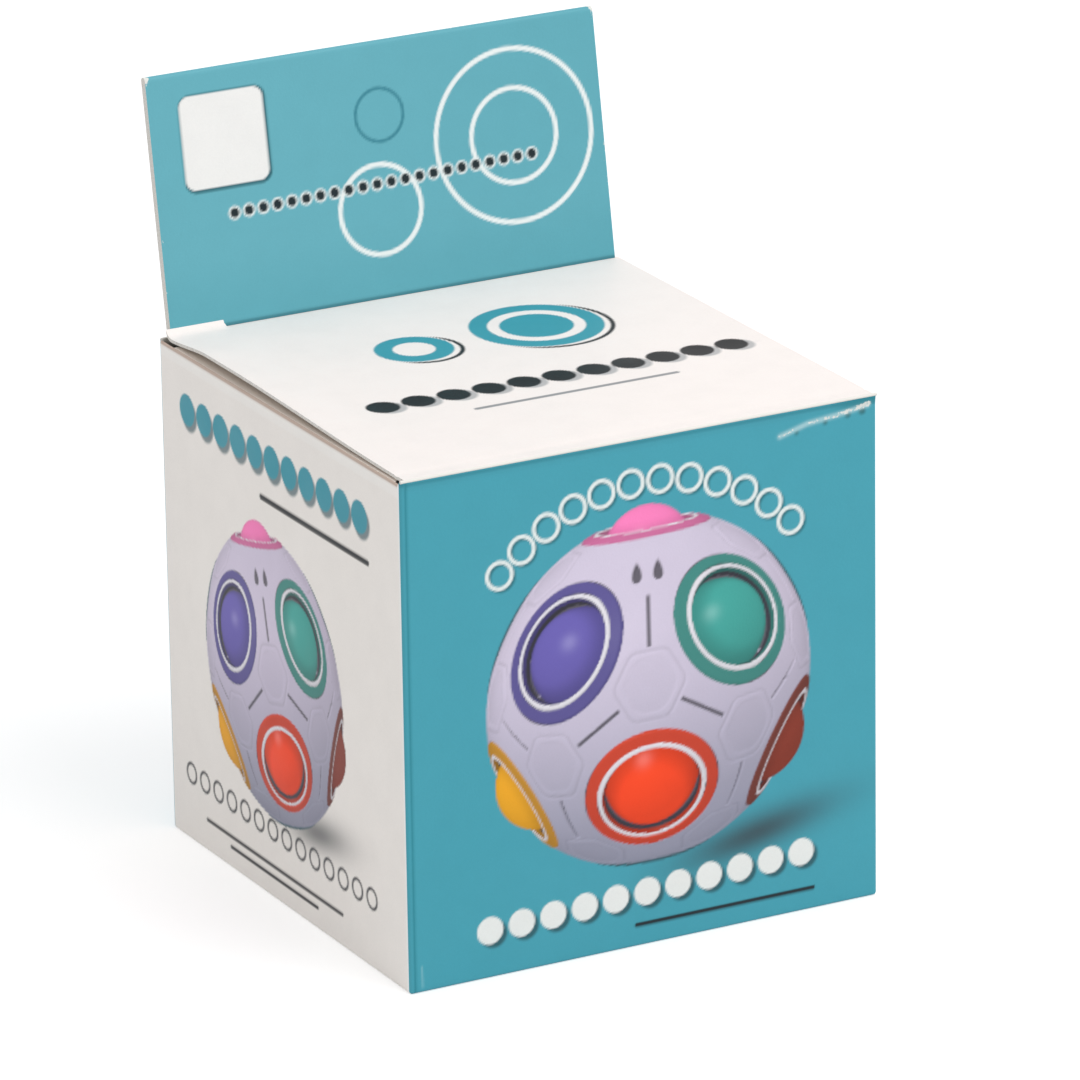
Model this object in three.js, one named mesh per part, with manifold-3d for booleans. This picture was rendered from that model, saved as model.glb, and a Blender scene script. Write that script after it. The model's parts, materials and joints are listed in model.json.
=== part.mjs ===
// A boxed ball puzzle: a hinged-lid display carton with a header card, and in it a hollow
// ball with twelve sockets and eleven loose coloured balls. Millimetres, +Z up, origin at
// the middle of the carton's base, header at +Y, lid hinged along the -Y top edge.

import * as THREE from "three";
import * as BufferGeometryUtils from "three/addons/utils/BufferGeometryUtils.js";
import Module from "manifold-3d";

const wasm = await Module();
wasm.setup();

// ---- puzzle sizes ----
const shellRadius = 35;          // outside of the hollow shell
const shellWall = 2.3;
const ballRadius = 10;           // a loose ball
const ballHold = 0.45;           // how much narrower a socket's hole is than the ball's radius
const flareWidth = 0.85;         // how much the hole widens towards the outer face
const lipWidth = 0.7;            // the thin lip between the hole and the ring
const ringWidth = 2.25;          // a coloured ring, from its inner to its outer edge
const ringThickness = 1.0;
const ringProud = 0.2;           // how far a ring stands above the shell
const tongueHeight = 1.0;        // the lower half's tongue, inside the upper half
const tongueThickness = 0.9;

// ---- carton sizes ----
const board = 0.5;               // thickness of the printed board
const sideRoom = 1.1;            // from the puzzle's outermost balls to each side panel
const headRoom = 2.4;            // from the puzzle's top ball to the closed lid
const headerHeight = 38.2;       // length of the header card, crease to top edge
const headerLean = 9.5;          // degrees that the header leans back
const headerInset = 1.3;         // how much narrower the header is, each side
const lidInset = 0.6;            // how much narrower the lid is, each side
const tuckLength = 12;           // a tuck flap, from its fold to its free edge
const tuckLean = 12;             // degrees that the lid's tucked flap leans in
const tuckInset = 2;             // how much narrower the base's tuck flap is, each side
const tuckCorner = 4;            // corner radius of a tuck flap's free edge
const tuckSetback = 0.9;         // from the back panel's inner face to the tuck fold
const earWidth = 10;             // stubs of the slit lock at the lid's rear corners
const dustLength = 18;           // dust flaps under the lid
const dustTaper = 45;            // degrees of the angled cut at a dust flap's front end
const dustEndGap = 4;            // from a dust flap's end to the panel beside it
const baseDustLength = 26;       // dust flaps inside the glued base
const glueWidth = 11;            // the glue flap inside the back panel
const glueBevel = 5;             // the slanted cut at each end of the glue flap

// ---- clearances ----
const layerGap = 0.3;            // between boards that lie on each other
const foldGap = 0.3;             // from a fold line to the board on each side of it
const foldRelief = 0.6;          // the same on the inside of a fold that turns sharply
const seatGap = 0.3;             // between a loose ball and what holds it
const inlayGap = 0.25;           // round a coloured ring in its recess
const seamGap = 0.15;            // between the two shell halves

// ---- roundness, in segments of a full turn ----
const shellSegments = 32;
const socketSegments = 20;
const ballSegments = 16;
const coreFacet = 7;             // longest flat round the soft core, in millimetres
const cornerSegments = 6;

// ---- places worked out from the sizes ----
const innerRadius = shellRadius - shellWall;
const holeRadius = ballRadius - ballHold;
const flareRadius = holeRadius + flareWidth;
const lipRadius = flareRadius + lipWidth;
const ringInnerRadius = lipRadius + inlayGap;
const ringRadius = ringInnerRadius + ringWidth;
const recessRadius = ringRadius + inlayGap;
const ringTop = shellRadius + ringProud;
const ringBottom = ringTop - ringThickness;
const recessFloor = ringBottom - inlayGap;
const rimHeight = Math.sqrt(innerRadius ** 2 - holeRadius ** 2);
const seatDrop = Math.sqrt((ballRadius + seatGap) ** 2 - holeRadius ** 2);
const seatRadius = rimHeight - seatDrop;
const coreRadius = seatRadius - ballRadius - seatGap;
const coreSegments = 2 * Math.ceil(Math.PI * coreRadius / coreFacet);
const puzzleReach = seatRadius + ballRadius;
const puzzleHeight = board + layerGap + puzzleReach;

const innerHalf = puzzleReach + sideRoom;
const outerHalf = innerHalf + board;
const lidUnderside = puzzleHeight + puzzleReach + headRoom;
const boxHeight = lidUnderside + board;
const foldHeight = boxHeight - board / 2;
const tuckFold = innerHalf - tuckSetback;
const dustMiddle = lidUnderside - layerGap - board / 2;
const sideTop = dustMiddle - foldRelief;

// ---- finishes ----
function finish(color, roughness) {
  return new THREE.MeshStandardMaterial({ color, roughness, metalness: 0 });
}

const tealBoard = finish(0x4ba5b9, 0.45);
const whiteBoard = finish(0xf0eeec, 0.5);
const plainBoard = finish(0xd8d4cc, 0.8);
const shellPlastic = finish(0xcdc6dc, 0.4);
const coreRubber = finish(0x8f8f98, 0.9);

const colours = {
  pink: 0xfa82be,
  violet: 0x6e5faa,
  green: 0x469687,
  orange: 0xfa502d,
  yellow: 0xeba532,
  brown: 0x964632,
  red: 0xc8242c,
  sky: 0x5bb4e6,
  lime: 0x9acb3c,
  cream: 0xefe9dc,
  navy: 0x2b3f86,
  grey: 0x9a9aa2
};

// Sockets lie where an icosahedron has its corners: one at each pole and two rings of five.
// A turn is counted from the -Y side, towards +X.
const sockets = [
  { colour: "pink", row: "top", turn: 0 },
  { colour: "violet", row: "upper", turn: -36 },
  { colour: "green", row: "upper", turn: 36 },
  { colour: "red", row: "upper", turn: 108 },
  { colour: "sky", row: "upper", turn: 180 },
  { colour: "grey", row: "upper", turn: -108, empty: true },
  { colour: "orange", row: "lower", turn: 0 },
  { colour: "brown", row: "lower", turn: 72 },
  { colour: "lime", row: "lower", turn: 144 },
  { colour: "cream", row: "lower", turn: -144 },
  { colour: "yellow", row: "lower", turn: -72 },
  { colour: "navy", row: "bottom", turn: 0 }
];

const rowSlope = { top: Math.PI / 2, upper: Math.atan(0.5), lower: -Math.atan(0.5), bottom: -Math.PI / 2 };

function socketAxis({ row, turn }) {
  const slope = rowSlope[row];
  const angle = THREE.MathUtils.degToRad(turn);
  const reach = Math.cos(slope);
  return new THREE.Vector3(Math.sin(angle) * reach, -Math.cos(angle) * reach, Math.sin(slope));
}

// ---- closed meshes and booleans ----
function tidyMesh(geometry) {
  geometry.deleteAttribute("normal");
  geometry.deleteAttribute("uv");
  const merged = BufferGeometryUtils.mergeVertices(geometry, 1e-4);
  const corners = merged.getIndex().array;
  const position = merged.getAttribute("position");
  const kept = [];
  let volume = 0;
  const [a, b, c] = [new THREE.Vector3(), new THREE.Vector3(), new THREE.Vector3()];
  for (let i = 0; i < corners.length; i += 3) {
    const [p, q, r] = [corners[i], corners[i + 1], corners[i + 2]];
    if (p === q || q === r || r === p) continue;
    kept.push(p, q, r);
    a.fromBufferAttribute(position, p);
    b.fromBufferAttribute(position, q);
    c.fromBufferAttribute(position, r);
    volume += a.dot(b.cross(c));
  }
  if (volume < 0) kept.reverse();
  merged.setIndex(kept);
  return merged;
}

function toManifold(geometry) {
  const merged = tidyMesh(geometry);
  return new wasm.Manifold(new wasm.Mesh({
    numProp: 3,
    vertProperties: new Float32Array(merged.getAttribute("position").array),
    triVerts: new Uint32Array(merged.getIndex().array)
  }));
}

function fromManifold(manifold) {
  const mesh = manifold.getMesh();
  const geometry = new THREE.BufferGeometry();
  geometry.setAttribute("position", new THREE.BufferAttribute(mesh.vertProperties, 3));
  geometry.setIndex(new THREE.BufferAttribute(mesh.triVerts, 1));
  return geometry;
}

function named(name, geometry, material) {
  const mesh = new THREE.Mesh(geometry, material);
  mesh.name = name;
  return mesh;
}

// ---- boards ----
function slab(x0, x1, y0, y1, z0, z1) {
  const box = new THREE.BoxGeometry(x1 - x0, y1 - y0, z1 - z0);
  return tidyMesh(box.translate((x0 + x1) / 2, (y0 + y1) / 2, (z0 + z1) / 2));
}

// An outline in the XY plane becomes a board whose middle lies at the given height.
function boardFrom(shape, height = 0) {
  const geometry = new THREE.ExtrudeGeometry(shape, {
    depth: board,
    bevelEnabled: false,
    curveSegments: cornerSegments
  });
  return tidyMesh(geometry.translate(0, 0, height - board / 2));
}

function outline(points) {
  return new THREE.Shape(points.map(([x, y]) => new THREE.Vector2(x, y)));
}

// A tuck flap: its fold lies along X at y = 0, and its free edge has round corners.
function tuckOutline(half, start) {
  const cornerX = half - tuckCorner;
  const cornerY = tuckLength - tuckCorner;
  const shape = new THREE.Shape();
  shape.moveTo(-half, start);
  shape.lineTo(half, start);
  shape.lineTo(half, cornerY);
  shape.absarc(cornerX, cornerY, tuckCorner, 0, Math.PI / 2);
  shape.lineTo(-cornerX, tuckLength);
  shape.absarc(-cornerX, cornerY, tuckCorner, Math.PI / 2, Math.PI);
  return shape;
}

function makeWalls() {
  const walls = new THREE.Group();
  const frontTop = lidUnderside - foldGap;
  walls.add(named("front_panel",
    slab(-outerHalf, outerHalf, -outerHalf, -innerHalf, 0, frontTop), tealBoard));
  walls.add(named("back_panel",
    slab(-outerHalf, outerHalf, innerHalf, outerHalf, 0, lidUnderside), tealBoard));
  walls.add(named("left_panel",
    slab(-outerHalf, -innerHalf, -innerHalf, innerHalf, 0, sideTop), whiteBoard));
  walls.add(named("right_panel",
    slab(innerHalf, outerHalf, -innerHalf, innerHalf, 0, sideTop), whiteBoard));

  const glueTop = sideTop - tuckLength;
  const glue = named("glue_flap", boardFrom(outline([
    [0, 0],
    [glueWidth, glueBevel],
    [glueWidth, glueTop - glueBevel],
    [0, glueTop]
  ])), plainBoard);
  glue.rotation.set(Math.PI / 2, 0, Math.PI, "ZYX");
  glue.position.set(innerHalf - foldGap, innerHalf - (board + layerGap) / 2, board + layerGap);
  walls.add(glue);
  return walls;
}

function makeBase() {
  const base = new THREE.Group();
  base.add(named("base_panel",
    slab(-innerHalf, innerHalf, -innerHalf, innerHalf, 0, board), whiteBoard));

  const fold = innerHalf - foldGap;
  const reach = innerHalf - dustEndGap;
  const taper = baseDustLength / 2;
  for (const [side, sign] of [["left", -1], ["right", 1]]) {
    const flap = boardFrom(outline([
      [sign * fold, -reach],
      [sign * (fold - baseDustLength), -reach + taper],
      [sign * (fold - baseDustLength), reach - taper],
      [sign * fold, reach]
    ]), board + layerGap + board / 2);
    base.add(named("base_dust_flap_" + side, flap, plainBoard));
  }

  const tuck = named("base_tuck_flap",
    boardFrom(tuckOutline(innerHalf - tuckInset, foldGap)), plainBoard);
  tuck.rotation.x = Math.PI / 2;
  tuck.position.set(0, -innerHalf + layerGap + board / 2, board);
  base.add(tuck);
  return base;
}

function makeHeader() {
  const header = new THREE.Group();
  const half = outerHalf - headerInset;
  const card = outline([
    [-half, 0],
    [half, 0],
    [half, headerHeight],
    [-half, headerHeight]
  ]);
  header.add(named("header_back", boardFrom(card), tealBoard));
  header.add(named("header_front", boardFrom(card, board + layerGap), tealBoard));
  header.rotation.x = Math.PI / 2 - THREE.MathUtils.degToRad(headerLean);
  header.position.set(0, outerHalf - board / 2, boxHeight + foldGap);
  return header;
}

function makeLid() {
  const lid = new THREE.Group();
  const half = outerHalf - lidInset;
  const ear = half - earWidth;
  const start = -outerHalf + foldGap;
  const end = tuckFold - foldGap;
  const earEnd = innerHalf - layerGap;
  lid.add(named("lid_panel", boardFrom(outline([
    [-half, start],
    [half, start],
    [half, earEnd],
    [ear, earEnd],
    [ear, end],
    [-ear, end],
    [-ear, earEnd],
    [-half, earEnd]
  ]), foldHeight), whiteBoard));

  const tuck = named("lid_tuck_flap",
    boardFrom(tuckOutline(ear - foldGap, foldRelief)), whiteBoard);
  tuck.rotation.x = -Math.PI / 2 - THREE.MathUtils.degToRad(tuckLean);
  tuck.position.set(0, tuckFold, foldHeight);
  lid.add(tuck);

  const fold = outerHalf - board / 2;
  const frontEnd = -innerHalf + layerGap + 2 * foldRelief;
  const frontTip = frontEnd + dustLength * Math.tan(THREE.MathUtils.degToRad(dustTaper));
  const backEnd = innerHalf - dustEndGap;
  for (const [side, sign] of [["left", -1], ["right", 1]]) {
    const flap = boardFrom(outline([
      [sign * (fold - foldGap), frontEnd],
      [sign * (fold - dustLength), frontTip],
      [sign * (fold - dustLength), backEnd],
      [sign * (fold - foldGap), backEnd]
    ]), dustMiddle);
    lid.add(named("lid_dust_flap_" + side, flap, whiteBoard));
  }
  return lid;
}

// ---- the puzzle ----
function onSphere(radius, fromAxis) {
  return new THREE.Vector2(fromAxis, Math.sqrt(radius ** 2 - fromAxis ** 2));
}

// A profile of (distance from the axis, height) turned round the Z axis.
function turned(profile, segments) {
  return new THREE.LatheGeometry(profile, segments).rotateX(Math.PI / 2);
}

function alongAxis(geometry, axis) {
  const turn = new THREE.Quaternion().setFromUnitVectors(new THREE.Vector3(0, 0, 1), axis);
  return geometry.applyQuaternion(turn);
}

// What a socket takes out of the shell: the flared hole, and the recess for its ring.
function socketCutter(axis) {
  const top = shellRadius + shellWall;
  const floorEdge = onSphere(recessFloor, lipRadius);
  const hole = turned([
    new THREE.Vector2(0, rimHeight / 2),
    new THREE.Vector2(holeRadius, rimHeight / 2),
    new THREE.Vector2(holeRadius, rimHeight + shellWall / 4),
    onSphere(shellRadius, flareRadius),
    new THREE.Vector2(flareRadius, top),
    new THREE.Vector2(0, top)
  ], socketSegments);
  const recess = turned([
    floorEdge,
    onSphere(recessFloor, recessRadius),
    new THREE.Vector2(recessRadius, top),
    new THREE.Vector2(lipRadius, top),
    floorEdge
  ], socketSegments);
  return toManifold(alongAxis(hole, axis)).add(toManifold(alongAxis(recess, axis)));
}

function quarterArc(radius, lowest, fromTop) {
  const steps = shellSegments / 4;
  const points = [];
  for (let i = 0; i <= steps; i += 1) {
    const angle = Math.PI / 2 * i / steps;
    points.push(new THREE.Vector2(radius * Math.cos(angle), radius * Math.sin(angle)));
  }
  points[0].y = lowest;
  points[steps].x = 0;
  return fromTop ? points.reverse() : points;
}

// One half of the shell, open side down: its rim has a tongue, or the rebate that takes one.
function makeShellHalf(name, cutter, isLower) {
  const rim = seamGap / 2;
  const tongueOuter = innerRadius + tongueThickness;
  const step = isLower ? tongueOuter : tongueOuter + layerGap;
  const stepHeight = isLower ? -tongueHeight : tongueHeight + layerGap;
  const half = turned([
    ...quarterArc(innerRadius, stepHeight, true),
    new THREE.Vector2(step, stepHeight),
    new THREE.Vector2(step, rim),
    ...quarterArc(shellRadius, rim, false)
  ], shellSegments);
  if (isLower) half.rotateX(Math.PI);
  return named(name, fromManifold(toManifold(half).subtract(cutter)), shellPlastic);
}

function makeRing(socket) {
  const low = onSphere(ringBottom, ringInnerRadius);
  const ring = turned([
    low,
    onSphere(ringBottom, ringRadius),
    onSphere(ringTop, ringRadius),
    onSphere(ringTop, ringInnerRadius),
    low
  ], socketSegments);
  return named("ring_" + socket.colour, tidyMesh(alongAxis(ring, socketAxis(socket))),
    finish(colours[socket.colour], 0.4));
}

function ballMesh(radius, segments) {
  return tidyMesh(new THREE.SphereGeometry(radius, segments, segments / 2 + 1));
}

function makeBall(socket) {
  const ball = named("ball_" + socket.colour, ballMesh(ballRadius, ballSegments),
    finish(colours[socket.colour], 0.25));
  ball.position.copy(socketAxis(socket).multiplyScalar(seatRadius));
  return ball;
}

function makePuzzle() {
  const puzzle = new THREE.Group();
  const cutter = sockets
    .map((socket) => socketCutter(socketAxis(socket)))
    .reduce((all, next) => all.add(next));
  puzzle.add(makeShellHalf("shell_upper", cutter, false));
  puzzle.add(makeShellHalf("shell_lower", cutter, true));
  puzzle.add(named("soft_core", ballMesh(coreRadius, coreSegments), coreRubber));
  for (const socket of sockets) {
    puzzle.add(makeRing(socket));
    if (!socket.empty) puzzle.add(makeBall(socket));
  }
  puzzle.position.z = puzzleHeight;
  return puzzle;
}

const boxedPuzzle = new THREE.Group();
boxedPuzzle.add(makeWalls(), makeBase(), makeHeader(), makeLid(), makePuzzle());

export default boxedPuzzle;
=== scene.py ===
import json
import math
from itertools import combinations

import bmesh
import bpy
import numpy as np
from mathutils import Matrix, Vector
from mathutils.bvhtree import BVHTree


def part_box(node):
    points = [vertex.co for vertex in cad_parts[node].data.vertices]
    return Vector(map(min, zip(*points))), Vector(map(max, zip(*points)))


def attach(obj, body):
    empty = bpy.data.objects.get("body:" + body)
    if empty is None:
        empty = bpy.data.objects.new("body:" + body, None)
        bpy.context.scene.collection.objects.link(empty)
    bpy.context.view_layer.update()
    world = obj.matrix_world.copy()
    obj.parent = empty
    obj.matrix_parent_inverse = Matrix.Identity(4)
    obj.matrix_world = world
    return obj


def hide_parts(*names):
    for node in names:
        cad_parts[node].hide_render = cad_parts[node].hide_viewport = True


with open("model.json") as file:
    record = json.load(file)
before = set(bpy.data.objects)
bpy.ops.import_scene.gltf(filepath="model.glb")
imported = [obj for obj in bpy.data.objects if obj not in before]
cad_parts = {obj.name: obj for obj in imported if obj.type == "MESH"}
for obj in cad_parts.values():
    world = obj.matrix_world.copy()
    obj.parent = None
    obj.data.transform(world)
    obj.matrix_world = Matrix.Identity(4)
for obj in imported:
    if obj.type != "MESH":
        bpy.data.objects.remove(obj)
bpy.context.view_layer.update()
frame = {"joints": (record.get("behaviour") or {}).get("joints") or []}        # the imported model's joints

mm = 0.001
joints = {joint["name"]: joint for joint in frame["joints"]}


def linear(code, gain=1.0):      # a written colour such as "4ba5b9", as light
    parts = [int(code[i:i + 2], 16) / 255 for i in (0, 2, 4)]
    return tuple(gain * (p / 12.92 if p <= 0.04045 else ((p + 0.055) / 1.055) ** 2.4) for p in parts)


def smooth(value, low, high):    # 0 at low, 1 at high, easing at both ends
    t = np.clip((value - low) / (high - low), 0, 1)
    return t * t * (3 - 2 * t)


frontLow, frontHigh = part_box("front_panel")
lidLow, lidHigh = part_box("lid_panel")
board = frontHigh.y - frontLow.y
outerHalf = -frontLow.y
innerHalf = -frontHigh.y
lidTop = lidHigh.z
lidFold = Vector(joints["lid_open"]["pos_m"])
tuckFold = Vector(joints["lid_tuck_fold"]["pos_m"])
dustFold = Vector(joints["lid_dust_fold_left"]["pos_m"])
foldRadius = board / 2

coreLow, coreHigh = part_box("soft_core")
puzzleCentre = (coreLow + coreHigh) / 2
coreRadius = (coreHigh.z - coreLow.z) / 2
ballLow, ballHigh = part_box("ball_pink")
ballRadius = (ballHigh.z - ballLow.z) / 2
ringLow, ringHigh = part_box("ring_pink")
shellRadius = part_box("shell_upper")[1].x

ballColours = {
    "pink": "fa82be", "violet": "6a5cb0", "green": "3f9c88", "red": "c8242c",
    "sky": "5bb4e6", "grey": "9a9aa2", "orange": "fb4d28", "brown": "8f4431",
    "lime": "9acb3c", "cream": "efe9dc", "yellow": "eda52a", "navy": "2b3f86",
}
emptySocket, acrossFromEmpty = "grey", "brown"


def socketAxis(colour):
    if colour == emptySocket:
        return -socketAxis(acrossFromEmpty)
    low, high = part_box("ball_" + colour)
    return ((low + high) / 2 - puzzleCentre).normalized()


socketAxes = {colour: socketAxis(colour) for colour in ballColours}


def newMaterial(name, roughness, **sockets):
    material = bpy.data.materials.new(name)
    material.use_nodes = True
    shader = material.node_tree.nodes["Principled BSDF"]
    shader.inputs["Roughness"].default_value = roughness
    for key, value in sockets.items():
        shader.inputs[key.replace("_", " ")].default_value = value
    return material, material.node_tree, shader


def addNode(tree, kind, settings=None, inputs=None):
    node = tree.nodes.new(kind)
    for key, value in (settings or {}).items():
        setattr(node, key, value)
    for key, value in (inputs or {}).items():
        socket = node.inputs[key]
        if isinstance(value, bpy.types.NodeSocket):
            tree.links.new(value, socket)
        else:
            socket.default_value = value
    return node


def objectPoint(tree):
    return addNode(tree, "ShaderNodeTexCoord").outputs["Object"]


def grain(tree, point, scale, detail=2.0, roughness=0.5):
    inputs = {"Vector": point, "Scale": scale, "Detail": detail, "Roughness": roughness}
    return addNode(tree, "ShaderNodeTexNoise", inputs=inputs).outputs["Fac"]


def remap(tree, value, low, high, toLow=0.0, toHigh=1.0):
    inputs = {"Value": value, "From Min": low, "From Max": high, "To Min": toLow, "To Max": toHigh}
    return addNode(tree, "ShaderNodeMapRange", inputs=inputs).outputs["Result"]


def mottle(tree, point, scale, detail, low, high):    # soft noise between low and high
    return remap(tree, grain(tree, point, scale, detail), 0.3, 0.7, low, high)


def maths(tree, operation, first, second):
    return addNode(tree, "ShaderNodeMath", {"operation": operation}, {0: first, 1: second}).outputs[0]


def mixColour(tree, share, first, second, blend="MIX"):
    node = addNode(tree, "ShaderNodeMix", {"data_type": "RGBA", "blend_type": blend})
    for socket, value in ((node.inputs[0], share), (node.inputs[6], first), (node.inputs[7], second)):
        if isinstance(value, bpy.types.NodeSocket):
            tree.links.new(value, socket)
        elif isinstance(value, tuple):
            socket.default_value = (*value, 1)
        else:
            socket.default_value = value
    return node.outputs[2]


def addBump(tree, shader, height, distance, strength=1.0):
    inputs = {"Height": height, "Distance": distance, "Strength": strength}
    bump = addNode(tree, "ShaderNodeBump", inputs=inputs)
    tree.links.new(bump.outputs["Normal"], shader.inputs["Normal"])


def feed(tree, shader, socket, value):
    tree.links.new(value, shader.inputs[socket])


# Printed face of the carton board: the ink is in the mesh's "print" colours, and where "wear"
# is high the ink has come off the paper.
def printedBoard():
    material, tree, shader = newMaterial("printed_board", 0.5, Specular_IOR_Level=0.25)
    point = objectPoint(tree)
    ink = addNode(tree, "ShaderNodeAttribute", {"attribute_name": "print"}).outputs["Color"]
    wear = addNode(tree, "ShaderNodeAttribute", {"attribute_name": "wear"}).outputs["Fac"]
    cloud = mottle(tree, point, 220, 3, 0.982, 1.008)
    fleck = mottle(tree, point, 3800, 2, 0.985, 1.012)
    tone = mixColour(tree, 1.0, ink, maths(tree, "MULTIPLY", cloud, fleck), "MULTIPLY")
    ragged = maths(tree, "ADD", grain(tree, point, 900, 4, 0.7), wear)
    bare = remap(tree, ragged, 0.98, 1.06)
    feed(tree, shader, "Base Color", mixColour(tree, bare, tone, linear("e9ebe6")))
    smear = mottle(tree, point, 90, 3, 0.44, 0.56)
    feed(tree, shader, "Roughness", maths(tree, "ADD", smear, maths(tree, "MULTIPLY", bare, 0.35)))
    fibre = maths(tree, "ADD", grain(tree, point, 2600, 3), maths(tree, "MULTIPLY", bare, -1.5))
    addBump(tree, shader, fibre, 0.00003, 0.5)
    return material


# Uncoated inside of the board: pale grey paper with darker fibres.
def plainBoard():
    material, tree, shader = newMaterial("plain_board", 0.88)
    point = objectPoint(tree)
    fibre = remap(tree, grain(tree, point, 1500, 5, 0.75), 0.35, 0.65)
    cloud = mottle(tree, point, 120, 3, 0, 1)
    tone = mixColour(tree, fibre, linear("c9c5bc"), linear("dedbd3"))
    stain = maths(tree, "MULTIPLY", cloud, 0.25)
    feed(tree, shader, "Base Color", mixColour(tree, stain, tone, linear("bdb8ac")))
    addBump(tree, shader, fibre, 0.00004, 0.6)
    return material


# Cut edge of the board: thin paper layers.
def cutEdge():
    material, tree, shader = newMaterial("cut_edge", 0.9)
    point = objectPoint(tree)
    layers = remap(tree, grain(tree, point, 4000, 4, 0.8), 0.35, 0.65)
    feed(tree, shader, "Base Color", mixColour(tree, layers, linear("d2cec6"), linear("f1efeb")))
    addBump(tree, shader, grain(tree, point, 6000, 2), 0.00003, 0.6)
    return material


def mouldedPlastic(name, code, roughness, unevenness=0.03, coat=0.0):
    material, tree, shader = newMaterial(name, roughness, Coat_Weight=coat, Coat_Roughness=0.12)
    point = objectPoint(tree)
    tone = mottle(tree, point, 160, 3, 1 - unevenness, 1 + unevenness)
    shade = addNode(tree, "ShaderNodeVectorMath", {"operation": "SCALE"},
                    {"Vector": linear(code), "Scale": tone}).outputs[0]
    feed(tree, shader, "Base Color", shade)
    feed(tree, shader, "Roughness", mottle(tree, point, 420, 3, roughness - 0.05, roughness + 0.08))
    addBump(tree, shader, grain(tree, point, 5200, 2), 0.00001, 0.35)
    return material


def foamRubber():
    material, tree, shader = newMaterial("core_foam", 0.95)
    point = objectPoint(tree)
    voronoi = addNode(tree, "ShaderNodeTexVoronoi", inputs={"Vector": point, "Scale": 1600.0})
    cells = voronoi.outputs["Distance"]
    skin = remap(tree, cells, 0.1, 0.6)
    feed(tree, shader, "Base Color", mixColour(tree, skin, linear("5f5f68"), linear("9a9aa4")))
    addBump(tree, shader, cells, 0.0002, 0.7)
    return material


boardMaterials = [printedBoard(), plainBoard(), cutEdge()]
shellMaterial = mouldedPlastic("shell_plastic", "cdc6dc", 0.36)
coreMaterial = foamRubber()


def meshFrom(bm, name):
    mesh = bpy.data.meshes.new(name)
    bm.to_mesh(mesh)
    bm.free()
    return mesh


def addObject(name, data):
    item = bpy.data.objects.new(name, data)
    bpy.context.scene.collection.objects.link(item)
    return item


def finishPiece(bm, name, materials, body, nodes, sharpAngle=35):
    mesh = meshFrom(bm, name)
    for material in materials:
        mesh.materials.append(material)
    piece = addObject(name, mesh)
    mesh.polygons.foreach_set("use_smooth", [True] * len(mesh.polygons))
    mesh.set_sharp_from_angle(angle=math.radians(sharpAngle))
    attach(piece, body)
    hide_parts(*nodes)
    return piece


def turned(profile, axis, steps):    # profile: (distance from the axis, height along it)
    bm = bmesh.new()
    side = axis.orthogonal().normalized()
    verts = [bm.verts.new(side * radius + axis * height) for radius, height in profile]
    edges = [bm.edges.new(pair) for pair in zip(verts, verts[1:])]
    bmesh.ops.spin(bm, geom=verts + edges, cent=(0, 0, 0), axis=axis, angle=math.tau,
                   steps=steps, use_merge=True)
    return bm


def addTo(bm, other):    # moves another bmesh's contents into this one
    mesh = meshFrom(other, "part")
    bm.from_mesh(mesh)
    bpy.data.meshes.remove(mesh)


def rounded(points, radius, steps=3):    # softens each inner corner of a profile
    result = [points[0]]
    for before, corner, after in zip(points, points[1:], points[2:]):
        corner = Vector(corner)
        toBefore, toAfter = Vector(before) - corner, Vector(after) - corner
        cut = min(radius, toBefore.length / 2, toAfter.length / 2)
        start, end = corner + toBefore.normalized() * cut, corner + toAfter.normalized() * cut
        for i in range(steps + 1):
            t = i / steps
            result.append(tuple(start * (1 - t) ** 2 + corner * 2 * t * (1 - t) + end * t ** 2))
    return result + [points[-1]]


def onSphere(radius, fromAxis):
    return fromAxis, math.sqrt(radius ** 2 - fromAxis ** 2)


shellSettings = {
    "wall": 2.3 * mm,
    "hole": 9.55 * mm,            # radius of a socket's hole
    "flare": 10.4 * mm,           # the hole's radius at the outer face
    "lip": 11.1 * mm,             # outer radius of the thin lip round the hole
    "ringGap": 0.25 * mm,
    "recessDepth": 1.05 * mm,
    "edgeSoftness": 0.3 * mm,
    "openingMargin": 0.25 * mm,   # the skins stop this far short of a socket, and a strip joins them
    "seam": 0.15 * mm,
    "segments": 120,
    "fineness": 7,
    "neighbours": 0.4,            # axes of sockets side by side have a larger cosine than this
    "patchArea": 0.94,            # cosine at the edge of the area looked at round a patch
    "slotArea": 0.97,             # and round a slot
    "sameWay": 0.99,
    "patchReach": 6.5 * mm,       # from a patch's middle to its straight sides
    "patchCorner": 2.4 * mm,
    "grooveWidth": 0.34 * mm,
    "grooveDepth": 0.26 * mm,
    "dishInset": 1.2 * mm,       # the round step inside a patch
    "dishCorner": 3.8 * mm,
    "dishDepth": 0.16 * mm,
    "slotLength": 10.8 * mm,
    "slotWidth": 0.9 * mm,
    "slotDepth": 0.65 * mm,
    "dropSpacing": 4.4 * mm,      # the pair of teardrop holes
    "dropLength": 5.6 * mm,
    "dropWidth": 2.4 * mm,
    "dropDepth": 1.2 * mm,
    "dropShift": 1.5 * mm,
}


def polygonDistance(x, y, reach, corner, sides=6):    # signed distance to a round-cornered polygon
    step = math.tau / sides
    angle = np.arctan2(y, x)
    folded = angle - step * np.round(angle / step)
    length = np.hypot(x, y)
    across, along = length * np.cos(folded), np.abs(length * np.sin(folded))
    inner = reach - corner
    half = inner * math.tan(step / 2)
    beyond = np.maximum(along - half, 0)
    outside = np.where(across > inner, np.hypot(np.maximum(across - inner, 0), beyond), across - inner)
    return outside - corner


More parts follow.
